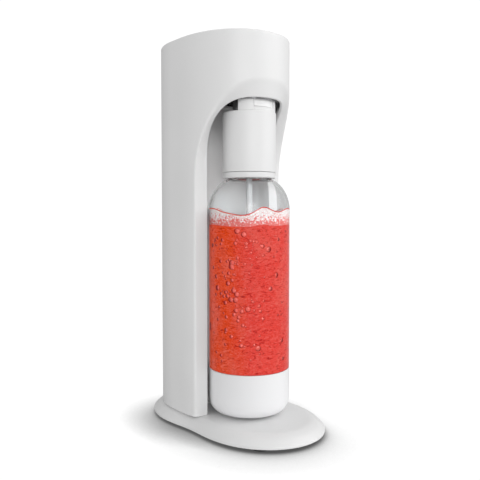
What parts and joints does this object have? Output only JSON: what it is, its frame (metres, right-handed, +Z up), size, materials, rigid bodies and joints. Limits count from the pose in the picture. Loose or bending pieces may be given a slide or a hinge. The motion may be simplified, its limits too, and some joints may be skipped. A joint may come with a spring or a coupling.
{
  "type": "soda carbonator",
  "caption": "Gas-powered soda carbonator: oval tower on an egg-shaped base, press button, tilting dock, twist-on infuser with release flap, clear bottle and CO2 cylinder.",
  "frame": {"origin": "middle of the footprint, on the surface it stands on", "axes": "+Z up, -Y is the front, where the bottle hangs; +X is the right side seen from the front's back"},
  "size_m": [0.1402, 0.2262, 0.4165],
  "materials": {
    "white": "satin white moulded plastic",
    "white_inner": "plain white moulded plastic",
    "dark": "dark grey moulded plastic",
    "chrome": "bright plated trim",
    "steel": "zinc-plated steel",
    "brass": "turned brass",
    "aluminium": "satin aluminium",
    "rubber": "black rubber",
    "clear": "clear blown plastic",
    "nylon": "black nylon pipe"
  },
  "bodies": {
    "frame": {"front_housing": "white", "top_cover": "white", "base_plate": "white", "base_bottom_plate": "dark", "rubber_foot_1": "rubber", "rubber_foot_2": "rubber", "rubber_foot_3": "rubber", "rubber_foot_4": "rubber", "base_screw_1": "steel", "base_screw_2": "steel", "base_screw_3": "steel", "base_screw_4": "steel", "lid_screw_1": "steel", "lid_screw_2": "steel", "bracket_screw_1": "steel", "bracket_screw_2": "steel", "valve_bracket": "steel", "valve_block": "aluminium", "plunger_seal": "rubber", "cylinder_gasket": "rubber", "outlet_fitting": "brass", "relief_valve": "brass", "gas_pipe": "nylon", "dock_housing": "dark", "dock_ring": "chrome", "dock_pivot_pin_left": "steel", "dock_pivot_pin_right": "steel", "lever_pin": "steel", "cylinder_cradle": "white_inner", "button_spring": "steel"},
    "rear_panel": {"rear_cover": "white"},
    "button": {"carbonation_button": "white"},
    "lever": {"actuator_lever": "steel"},
    "plunger": {"plunger": "steel"},
    "gas_cylinder": {"cylinder_body": "aluminium", "cylinder_valve": "brass"},
    "valve_pin": {"valve_pin": "steel"},
    "dock": {"dock_carrier": "dark", "gas_nozzle": "brass", "nozzle_seal": "rubber", "infuser_shell": "white", "infuser_ring": "white", "infuser_cap": "dark", "infuser_collar": "white", "infuser_insert": "white_inner", "bottle_seal": "rubber", "gas_wand": "clear", "wand_tip": "white", "inlet_stem": "steel", "release_lever_pin": "steel", "release_stem": "steel"},
    "release_flap": {"release_lever": "white"},
    "bottle": {"bottle_body": "clear", "base_cup": "white"}
  },
  "joints": [
    {"name": "button_press", "type": "slide", "parent": "frame", "child": "button", "axis": [0, 0, -1], "range_m": [0, 0.007], "stiffness_N_per_m": 900, "deforming": ["button_spring"]},
    {"name": "lever_rock", "type": "hinge", "parent": "frame", "child": "lever", "pos_m": [0, 0.088, 0.3905], "axis": [1, 0, 0], "range_deg": [0, 3.7]},
    {"name": "plunger_travel", "type": "slide", "parent": "frame", "child": "plunger", "axis": [0, 0, -1], "range_m": [0, 0.0016]},
    {"name": "valve_pin_travel", "type": "slide", "parent": "gas_cylinder", "child": "valve_pin", "axis": [0, 0, -1], "range_m": [0, 0.0016]},
    {"name": "cylinder_turn", "type": "hinge", "parent": "frame", "child": "gas_cylinder", "pos_m": [0, 0.0638, 0.17], "axis": [0, 0, 1], "range_deg": [0, 360]},
    {"name": "rear_cover_pull", "type": "slide", "parent": "frame", "child": "rear_panel", "axis": [0, 1, 0], "range_m": [0, 0.08]},
    {"name": "dock_tilt", "type": "hinge", "parent": "frame", "child": "dock", "pos_m": [0, -0.0225, 0.3575], "axis": [-1, 0, 0], "range_deg": [0, 7]},
    {"name": "bottle_twist", "type": "hinge", "parent": "dock", "child": "bottle", "pos_m": [0, -0.0225, 0.28], "axis": [0, 0, 1], "range_deg": [0, 120]},
    {"name": "release_flap_lift", "type": "hinge", "parent": "dock", "child": "release_flap", "pos_m": [0, -0.0421, 0.3503], "axis": [-1, 0, 0], "range_deg": [0, 9], "stiffness_Nm_per_rad": 0.02}
  ],
  "couplings": [
    {"joint": "lever_rock", "follows": "button_press", "rad_per_m": 9.0498},
    {"joint": "plunger_travel", "follows": "button_press", "ratio": 0.219},
    {"joint": "valve_pin_travel", "follows": "button_press", "ratio": 0.219}
  ]
}
